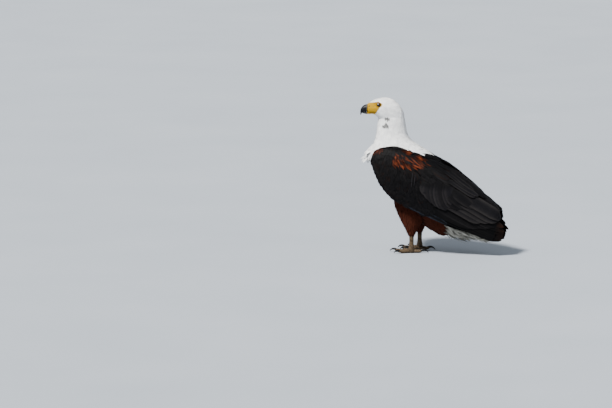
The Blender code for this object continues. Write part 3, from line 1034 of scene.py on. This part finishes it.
def add_fluff(coat):
    """Loose white breast feathers that spill out in front of each wing's wrist."""
    for sign in SIDES.values():
        for _ in range(FLUFF_COUNT):
            out, ahead, up = FLUFF_PLACE
            place = FEET + Vector((sign * (out + rng.normal(0, 0.010)), ahead, up))
            place += Vector((0, rng.normal(0, 0.008), rng.normal(0, 0.010)))
            root = coat.tree.find_nearest(place)[0]
            way = Vector((sign * 0.30, -0.75, -0.9)) + Vector(rng.normal(0, 0.25, 3))
            tints = plain_tints(WHITE * rng.uniform(0.85, 1.0))
            coat.add(root, way, rng.uniform(0.018, 0.032), rng.uniform(0.006, 0.011), "loose",
                     rng.uniform(0.004, 0.014), tints, base=0.001)


# ---- the folded wing ----
# Millimetres in the wing's own plane: its upper and lower edges, the shoulder's and the wrist's
# chestnut patches, and the lower edge of the scapulars that lie over it.
WING_TOP = [(0, 15), (11, 34), (50, 60), (96, 81), (146, 94), (198, 97), (250, 93), (305, 86),
            (357, 77), (405, 71), (442, 64), (470, 49), (500, 10)]
WING_LOW = [(0, -5), (29, -34), (72, -61), (122, -80), (177, -82), (233, -78), (292, -72),
            (347, -66), (397, -55), (448, -42), (488, -36), (520, -23)]
SHOULDER_PATCH = [(66, 48), (84, 64), (108, 82), (136, 87), (168, 88), (196, 86), (200, 79),
                  (178, 64), (150, 45), (128, 28), (104, 14), (84, 12), (70, 28)]
PATCH_LINE = [(58, 55), (99, 58), (128, 76)]  # a black line across the shoulder's patch
WRIST_PATCH = [(-6, 4), (-2, 30), (20, 50), (36, 50), (32, 36), (20, 20), (6, 2)]
SCAPULAR_LINE = [(0, 140), (118, 100), (150, 76), (210, 58), (262, 74), (368, 76)]
SCAPULAR_END, COVERT_END = 262, 236
RIDGE_END, RIDGE_DEPTH = 440, 14  # behind the scapulars, the upper edge is feathered as far as this
RIDGE_RISE = 0.45  # of a scapular's lift
# The least outward part of a root's normal on the wing's side, on its top and under a long scapular,
# where the long ones start, and the most that a root faces along the wing.
SIDE_OUTWARD, TOP_OUTWARD, SCAPULAR_OUTWARD, LONG_START, FACING_REAR = -0.25, -0.9, -0.35, 150, 0.6
# By distance along the wing.
SCAPULAR_GAP = [(100, 6), (150, 9), (200, 12), (260, 13)]
SCAPULAR_LENGTH = [(100, 24), (150, 55), (200, 95), (262, 128), (280, 60)]
SCAPULAR_WIDTH = [(100, 13), (150, 22), (200, 28), (262, 30), (280, 20)]
MARKED_LENGTH = 45  # only scapulars shorter than this take the shoulder's chestnut
SCAPULAR_STRAY, GROUP_STRAY = 0.010, 0.024  # in metres, the most they may stand off
SHOULDER_TONES, TONE_ODDS = [0.16, 0.45, 0.85, 1.5], [0.22, 0.32, 0.30, 0.16]


def along_line(outline, along):
    """The height of a line, or another value, at a distance along the wing."""
    stations, heights = zip(*outline)
    return np.interp(along, stations, heights)


def slope_degrees(outline, along):
    step = 8.0
    rise = along_line(outline, along + step) - along_line(outline, along - step)
    return np.degrees(np.arctan2(rise, 2 * step))


def covert_heading(along, height):
    """Degrees from the wing's line: coverts hang from the forearm and turn to lie along its edges."""
    low, high = along_line(WING_LOW, along), along_line(WING_TOP, along)
    share = np.clip((height - low) / (high - low), 0, 1)
    hang = -52 + 28 * smooth(140, 225, along)
    from_low = smooth(0.02, 0.36, share)
    heading = slope_degrees(WING_LOW, along) * (1 - from_low) + hang * from_low
    rear_top = smooth(0.50, 0.80, share) * smooth(20, 120, along)
    return heading * (1 - rear_top) - 3.0 * rear_top


def covert_size(along, height):
    """Spacing, length and width of a covert in mm: smallest at the wrist and the leading edge."""
    low = along_line(WING_LOW, along)
    size = np.interp(along, [0, 60, 130, 225], [0.42, 0.58, 0.85, 1.25])
    size = size * (0.75 + 0.25 * smooth(0, 45, height - low))
    patch = smooth(-8, 4, signed_distance(np.stack([along, height], 1), SHOULDER_PATCH))
    size = size * (1 - 0.15 * patch)
    return 8.0 * size * (1 - 0.12 * patch), 38 * size, 16.0 * size * (1 - 0.48 * patch)


def wing_direction(degrees):
    """A way in the wing's plane, turned up from its line."""
    turn = math.radians(degrees)
    return WING_ALONG * math.cos(turn) + WING_ACROSS * math.sin(turn)


def wing_tints(along, height, pale=1.0, vary=0.3, marked=True, worn=0.14):
    """Tints of a wing feather whose visible part is at this place in the wing's plane.

    A share of the black ones, worn, has brown edges.
    """
    spot = np.array([[along, height]], float)
    shoulder = marked * smooth(-4, 3, signed_distance(spot, SHOULDER_PATCH))[0]
    shoulder *= smooth(2.5, 6.0, path_distance(spot, PATCH_LINE))[0]
    wrist = smooth(-3, 4, signed_distance(spot, WRIST_PATCH))[0]
    # pale scales the black: above one it is painted sheen, below one painted shade.
    vane = BLACK * rng.uniform(1 - vary, 1 + vary) * pale
    edge = BLACK_EDGE * rng.uniform(0.4, 1.6) * pale
    if rng.random() < worn:
        edge = TIP_BROWN * rng.uniform(0.4, 1.0)
    if rng.random() < shoulder * 0.84:
        vane = SHOULDER * rng.choice(SHOULDER_TONES, p=TONE_ODDS)
        return Tints(BLACK_ROOT_SHADE, vane, vane * rng.uniform(0.1, 1.2), vane * 0.5)
    if rng.random() < wrist * 0.9:
        vane = CHESTNUT * rng.uniform(0.4, 1.3)
        return Tints(BLACK_ROOT_SHADE, vane, CHESTNUT_EDGE * 0.7, vane)
    return Tints(BLACK_ROOT_SHADE, vane, edge, vane * 1.2)


def cover_by_tract(side, coat, ground):
    """Coverts over the front of the wing, and the scapulars over its top."""
    points, normals, areas, regions = ground
    along, height = (value * 1000 for value in in_wing(points))
    outward = normals[:, 0] * SIDES[side]
    upper = (normals[:, 2] > 0.0) & (outward > TOP_OUTWARD)
    facing_rear = normals @ WING_ALONG > FACING_REAR
    on_wing = (regions == "wing_" + side) & ((outward > SIDE_OUTWARD) | upper) & ~facing_rear
    scapular = height > along_line(SCAPULAR_LINE, along)
    ridge = upper & (height > along_line(WING_TOP, along) - RIDGE_DEPTH)
    ridge &= (along >= SCAPULAR_END) & (along < RIDGE_END)
    covert = on_wing & ~scapular & (along < COVERT_END)
    lay_coverts(coat, points, areas, along, height, covert)
    inner = (outward <= SCAPULAR_OUTWARD) & (along >= LONG_START)
    chosen = on_wing & (scapular & (along < SCAPULAR_END) | ridge) & ~inner
    lay_scapulars(coat, points, areas, along, height, chosen, np.where(ridge, RIDGE_RISE, 1.0))


def lay_coverts(coat, points, areas, along, height, chosen):
    """Small overlapping feathers that hang from the forearm."""
    spacing, length, width = covert_size(along, height)
    heading = covert_heading(along, height)
    for i in scattered(points, areas, spacing / 1000, chosen):
        scale = rng.uniform(0.88, 1.15)
        turn = heading[i] + rng.normal(0, 5)
        seen = 0.6 * length[i]
        tints = wing_tints(along[i] + seen * math.cos(math.radians(turn)),
                           height[i] + seen * math.sin(math.radians(turn)))
        shape, section = ("covert", LARGE_SECTION) if width[i] > 11 else ("loose", SMALL_SECTION)
        coat.add(points[i], wing_direction(turn), length[i] * scale / 1000,
                 width[i] * scale / 1000, shape, rng.uniform(1.6, 3.2) / 1000, tints,
                 base=0.0006, camber=0.10, section=section)


def lay_scapulars(coat, points, areas, along, height, chosen, rise):
    """Long feathers over the wing's top, longer towards the rear."""
    for i in scattered(points, areas, along_line(SCAPULAR_GAP, along) / 1000, chosen):
        long, wide = (along_line(sizes, along[i]) for sizes in (SCAPULAR_LENGTH, SCAPULAR_WIDTH))
        long *= rng.uniform(0.85, 1.1)
        turn = rng.normal(1.0, 2.0)
        tints = wing_tints(along[i] + 0.6 * long, height[i], pale=1.15, marked=long < MARKED_LENGTH)
        coat.add(points[i], wing_direction(turn), long / 1000, wide / 1000, "covert",
                 rise[i] * rng.uniform(2.4, 4.2) / 1000, tints, base=0.0022 * rise[i],
                 camber=0.10, section=LARGE_SECTION, most_stray=SCAPULAR_STRAY)


def wing_root(tree, side, along, height):
    """The point of the wing's outer face in line with a place in the wing's plane."""
    middle = WING_START + WING_ALONG * (along / 1000) + WING_ACROSS * (height / 1000)
    middle.x = 0.0
    out = Vector((SIDES[side], 0, 0))
    return tree.ray_cast(middle + out * 0.25, -out, 0.26)[0]


# A fan of large feathers, from a row of roots to a row of tips in the wing's plane, in mm, with each
# one's width, how far it stands off at its root and how much more at its tip, and its brightness,
# which is painted light: paler where a group catches the light, as painted sheen, and darker on the
# primaries beneath, as painted shade.
Group = collections.namedtuple(
    "Group", "count roots tips width base lift shape pale edge tip", defaults=(None, None)
)


def spread(line, count):
    """Points spread evenly along a line of stations."""
    stations = np.linspace(0, 1, len(line))
    share = np.arange(count) / max(count - 1, 1)
    return np.stack([np.interp(share, stations, axis) for axis in zip(*line)], 1)


def lay_group(group, side, coat):
    """Adds a fan's feathers to one wing's coat, each a little higher than the one before."""
    starts, ends = spread(group.roots, group.count), spread(group.tips, group.count)
    for k, (start, end) in enumerate(zip(starts, ends)):
        root = wing_root(coat.tree, side, *start)
        if root is None:
            continue
        run, climb = end - start
        tints = wing_tints(*(start + end) / 2, group.pale, vary=0.07, worn=0.0)
        if group.edge is not None:
            tints = tints._replace(edge=group.edge)
        if group.tip is not None:
            tints = tints._replace(tip=group.tip)
        coat.add(root, wing_direction(math.degrees(math.atan2(climb, run))),
                 math.hypot(run, climb) / 1000, group.width / 1000, group.shape,
                 group.lift / 1000, tints, base=(group.base + 0.05 * k) / 1000, camber=0.03,
                 tilt=0.09 * SIDES[side], thick=0.0006, section=LARGE_SECTION,
                 most_stray=GROUP_STRAY)


# From the lowest layer to the highest: roots and tips as (along, height).
WING_GROUPS = [
    # primaries
    Group(8, [(236, -62), (262, 0)], [(531, -17), (527, -4), (518, 14), (502, 34)], 25, 0.4, 1.0,
          "flight", 0.55, tip=TIP_BROWN),
    # their coverts, with a painted rim of bluish sky light along the wing's lower edge
    Group(10, [(150, -70), (238, -62)], [(246, -72), (338, -60)], 15, 0.8, 1.4, "covert", 0.7,
          edge=PAINTED_SKY_RIM),
    # secondaries
    Group(9, [(236, -46), (262, 34)], [(410, -28), (452, -4), (482, 24)], 32, 1.6, 1.6, "flight", 1.1),
    # the longest tertials
    Group(4, [(262, 4), (300, 46)], [(430, 12), (468, 34), (482, 56)], 44, 4.0, 3.0, "flight", 2.3,
          edge=PALE_EDGE),
    # shorter tertials between them and the coverts
    Group(3, [(240, 24), (270, 44)], [(346, 6), (384, 34)], 36, 4.6, 3.0, "covert", 1.4),
    # the greater coverts' broad panel
    Group(9, [(194, 26), (228, 48), (262, 58)],
          [(232, -12), (256, -25), (282, -31), (304, -29), (317, -18), (318, -2)], 42, 3.2, 3.4,
          "covert", 2.5),
    # a pale-edged tertial above the panel, and one along the top
    Group(2, [(240, 62), (246, 69)], [(366, 68), (374, 75)], 18, 7.0, 2.6, "flight", 2.5,
          edge=PALE_EDGE),
    Group(2, [(206, 78), (216, 84)], [(330, 76), (352, 78)], 16, 7.0, 1.6, "flight", 2.0,
          edge=PALE_EDGE),
    # two loose pale shafts over the coverts
    Group(2, [(146, 34), (156, 34)], [(172, -20), (176, -8)], 1.4, 4.6, 0.6, "loose", 9),
]


def cover_wing(side, coat, ground):
    """The great feathers in their layers, then the coverts and scapulars."""
    for group in WING_GROUPS:
        lay_group(group, side, coat)
    cover_by_tract(side, coat, ground)


# The tail's feathers: their number, how far behind its front the roots are and how wide their row,
# each one's width, how much shorter the outer ones are, how they fan out, and how steeply they fall.
TAIL_FEATHERS, TAIL_ROOTS, TAIL_ROW = 12, 0.040, 0.040
TAIL_WIDTH, TAIL_ROUND, TAIL_FAN, TAIL_FALL = 0.017, 0.008, 0.16, 0.22
# Its coverts lie in rows between these distances behind the feet. Each row of so many goes so far
# round each side of the tail's middle line, which runs through these heights.
UNDERTAIL_START, UNDERTAIL_END, UNDERTAIL_GAP = 0.106, 0.222, 0.0062
UNDERTAIL_COUNT, UNDERTAIL_TURN = 15, 1.5
UNDERTAIL_LINE = [(0.10, 0.105), (0.22, 0.072)]


def cover_tail(coat):
    """Twelve tail feathers above and below, and ragged coverts hanging under their roots."""
    lay_tail(coat)
    lay_undertail(coat)


def lay_tail(coat):
    """A fan of long feathers on each face of the tail, painted dark above where the wings cover them,
    as shade under the wings.
    """
    low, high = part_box("tail")
    root_y, end_y = low[1] + TAIL_ROOTS, high[1]
    middle = (TAIL_FEATHERS - 1) / 2
    for face in (1, -1):
        for k in range(TAIL_FEATHERS):
            share = (k - middle) / middle
            start = Vector((share * TAIL_ROW / 2, root_y, (low[2] + high[2]) / 2))
            root = REGIONS["tail"].ray_cast(start + UP * face * 0.2, UP * -face, 0.4)[0]
            if root is None:
                continue
            length = end_y - root.y - TAIL_ROUND * abs(share)
            # The tail's darker white: painted shade under the body.
            pale = SHADED_TAIL_WHITE * rng.uniform(0.95, 1.1)
            tints = plain_tints(pale) if face < 0 else Tints(*[BLACK] * 3, pale)
            way = Vector((share * TAIL_FAN, 1.0, -TAIL_FALL))
            coat.add(root, way, length, TAIL_WIDTH, "flight", 0.0012,
                     tints, base=0.0004 + 0.0006 * (1 - abs(share)), camber=0.06,
                     section=LARGE_SECTION)


def lay_undertail(coat):
    """Loose pale coverts round the tail's underside, which hang less towards its end."""
    under = tree_of(["tail", "undertail"])
    for y in np.arange(UNDERTAIL_START, UNDERTAIL_END, UNDERTAIL_GAP):
        core = np.interp(y, *zip(*UNDERTAIL_LINE))
        for turn in np.linspace(-UNDERTAIL_TURN, UNDERTAIL_TURN, UNDERTAIL_COUNT):
            turn += rng.normal(0, 0.06)
            out = Vector((math.sin(turn), 0, -math.cos(turn)))
            middle = Vector((0, FEET.y + y + rng.normal(0, 0.003), core))
            root = under.ray_cast(middle + out * 0.2, -out, 0.2)[0]
            if root is None:
                continue
            hang = min(abs(rng.normal(0, 0.6)), 0.8) * smooth(0.210, 0.15, y)
            way = Vector((out.x * 0.12 + rng.normal(0, 0.12), 1.0, -0.14 - hang))
            # Darker at the root: painted shade under the coverts over it, over the root's darker down.
            tints = plain_tints(SHADED_TAIL_WHITE * rng.uniform(0.6, 1.7), root=0.4)
            coat.add(root, way, rng.uniform(0.030, 0.054), rng.uniform(0.005, 0.009), "loose",
                     rng.uniform(0.004, 0.012), tints)


# ---- hard parts ----
# Colour at its root, where it fades to black and where the cere ends, in mm ahead of the eyes, and
# how far it sinks under the cere, in mm.
HORNS = {"bill_upper": (HORN_PALE, (35.5, 42), 36, 0.4), "bill_lower": (YELLOW, (33, 40), 31, 0.9)}
CERE_BLUR = 4  # mm over which the sinking eases
JAW_OVERLAP = 0.003  # of the lower horn and the fleshy jaw


def make_bill(material):
    """Upper and lower horn, pale where they leave the cere and black at the tip."""
    for node, (root_colour, fade, cere_end, sunk) in HORNS.items():
        shape = joined([node])
        if node == "bill_lower":
            cut_off(shape, HEAD_MIDDLE + HEAD_FORWARD * (JAW_END - JAW_OVERLAP), HEAD_FORWARD)
        mesh = remeshed(node + "_horn", shape, BILL_VOXEL, 2, swell=0.00015)
        relax(mesh, 90)
        points, normals = surface_of(mesh)
        ahead = in_head(points)[:, 0]
        depth = sunk / 1000 * smooth(cere_end + CERE_BLUR, cere_end, ahead)
        set_points(mesh, points - normals * depth[:, None])
        paint(mesh, mixed(root_colour, HORN_BLACK, smooth(*fade, ahead)))
        add_piece(node + "_horn", mesh, material, "bill_horn", node)


def make_claws(material):
    """Smooth horn in place of each claw's facets."""
    for side in SIDES:
        for toe in TOES:
            node = f"claw_{side}_{toe}"
            mesh = remeshed(node + "_horn", joined([node]), CLAW_VOXEL, 2, swell=0.0001)
            relax(mesh, 60)
            paint(mesh, CLAW_BLACK)
            add_piece(node + "_horn", mesh, material, "claw_horn", node)


CORNEA_RISE, CORNEA_ANGLE, PUPIL_ANGLE = 0.0006, 0.62, 0.30


def make_eyes(material):
    """A glossy dark brown eye with a black pupil and a bulged cornea."""
    for side in SIDES:
        ball = bmesh.new()
        bmesh.ops.create_uvsphere(ball, u_segments=64, v_segments=48, radius=EYE_RADIUS)
        look = eye_look(side)
        mesh = bpy.data.meshes.new(f"eyeball_{side}")
        turn = UP.rotation_difference(look).to_matrix().to_4x4()
        ball.transform(Matrix.Translation(EYES[side]) @ turn)
        ball.to_mesh(mesh)
        ball.free()
        points = points_of(mesh)
        outward = unit(points - EYES[side])
        angle = np.arccos(np.clip(outward @ look, -1, 1))
        bulge = CORNEA_RISE * smooth(CORNEA_ANGLE, 0.0, angle)
        set_points(mesh, points + outward * bulge[:, None])
        paint(mesh, mixed(PUPIL, IRIS, smooth(PUPIL_ANGLE, PUPIL_ANGLE + 0.04, angle)))
        add_piece(mesh.name, mesh, material, "iris", "eye_" + side)


SCUTE_LENGTH, SCUTE_RISE = 0.0036, 0.0007
PIMPLE_RATE, PIMPLE_RISE = 2300, 0.00022
LEG_REACH, ANKLE = (0.016, 0.011), (0.012, 0.020)  # the toes give way to the leg within these


def scale_legs(points, normals, side):
    """Scutes down the shin and over each toe, and pimpled pads under them."""
    foot = centre("tarsus_" + side)
    foot.z = 0.0
    offset = points - foot
    reach = np.linalg.norm(offset[:, :2], axis=1)
    on_leg = smooth(*LEG_REACH, reach) * smooth(*ANKLE, points[:, 2])
    along = np.where(on_leg > 0.5, points[:, 2], reach)
    wave = np.abs(np.sin(along / SCUTE_LENGTH * math.pi))
    facing = np.where(on_leg > 0.5, -normals[:, 1], normals[:, 2])
    scute = smooth(-0.1, 0.35, facing)
    height = SCUTE_RISE * scute * (wave ** 0.4 - 0.7)
    pimple = np.prod(np.sin(points * PIMPLE_RATE), axis=1)
    height += PIMPLE_RISE * (1 - scute) * pimple
    floor = smooth(0.0, 0.0012, points[:, 2])
    dark = (1 - smooth(0.0, 0.35, wave)) * scute
    return points + normals * (height * floor)[:, None], dark


def make_legs(skin):
    """The bare legs and toes, joined to the skin."""
    meshes = []
    for side in SIDES:
        mesh = remeshed("leg_" + side, joined(LEG_NODES[side]), LEG_VOXEL, 3, swell=0.0002)
        relax(mesh, 30)
        points, normals = surface_of(mesh)
        points, dark = scale_legs(points, normals, side)
        points[:, 2] = np.maximum(points[:, 2], 0.0)
        set_points(mesh, points)
        blotch = np.sin(points[:, 0] * 410 + 2 * np.sin(points[:, 2] * 330 + points[:, 1] * 190))
        colour = mixed(LEG, LEG_DARK, np.clip(dark * 0.8 + 0.5 * smooth(-0.2, 1.0, blotch), 0, 1))
        paint(mesh, colour)
        scaly = mesh.attributes.new("Scaly", "FLOAT", "POINT")
        scaly.data.foreach_set("value", np.ones(len(points)))
        mesh.shade_smooth()
        meshes.append(link("leg_" + side, mesh))
    with bpy.context.temp_override(
        active_object=skin, selected_editable_objects=[skin] + meshes
    ):
        bpy.ops.object.join()


# The start and end, from the feet, of the axis that each body coat's OFBake map is unrolled round.
COAT_AXES = {
    "neck": ((0, -0.10, 0.50), (0, -0.05, 0.28)),
    "trunk": ((0, -0.16, 0.36), (0, 0.14, 0.04)),
    "thighs": ((0, 0, 0.22), (0, 0.001, 0.04)),
    "tail": ((0, 0.07, 0.10), (0, 0.28, 0.05)),
}


def body_coats(tree, form):
    """An empty coat for each part of the body, over the skin or over the wingless form."""
    coats = {"head": Coat("coat_head", tree, HEAD_MIDDLE + HEAD_FORWARD * 0.05,
                          HEAD_MIDDLE - HEAD_FORWARD * 0.10)}
    for part, (start, end) in COAT_AXES.items():
        under = tree if part == "tail" else form
        coats[part] = Coat("coat_" + part, under, FEET + Vector(start), FEET + Vector(end))
    return coats


def finish_skin(skin):
    """Paints the skin, joins the legs to it and puts it in place of the flesh."""
    points, normals = surface_of(skin.data)
    paint(skin.data, skin_colours(points, normals))
    make_legs(skin)
    skin.data.materials.append(skin_material())
    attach(skin, "root")
    legs = LEG_NODES["left"] + LEG_NODES["right"]
    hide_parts(*BODY_NODES, "tail", *WING_NODES["left"], *WING_NODES["right"], *legs)


def main():
    make_studio()
    skin = make_skin()
    tree = tree_over(skin.data)
    coats = body_coats(tree, body_form())
    ground = ground_of(skin.data)
    cover_body(ground, coats)
    add_fluff(coats["trunk"])
    cover_tail(coats["tail"])
    wing_coats = {}
    for side in SIDES:
        wing_coats[side] = Coat("coat_wing_" + side, tree, WING_START, WING_START + WING_ALONG * 0.52)
        cover_wing(side, wing_coats[side], ground)
    finish_skin(skin)
    soft = plumage_material("soft_plumage", 0.8, 0.06, 0.25)
    sleek = plumage_material("sleek_plumage", 0.5, 0.05, 0.4)
    for name, coat in coats.items():
        coat.finish(soft, "chestnut_plumage" if name in ("trunk", "thighs") else "white_plumage")
    for coat in wing_coats.values():
        coat.finish(sleek, "black_plumage")
    make_eyes(eye_material())
    make_bill(horn_material("bill_horn", 0.46))
    make_claws(horn_material("claw_horn", 0.35))


main()
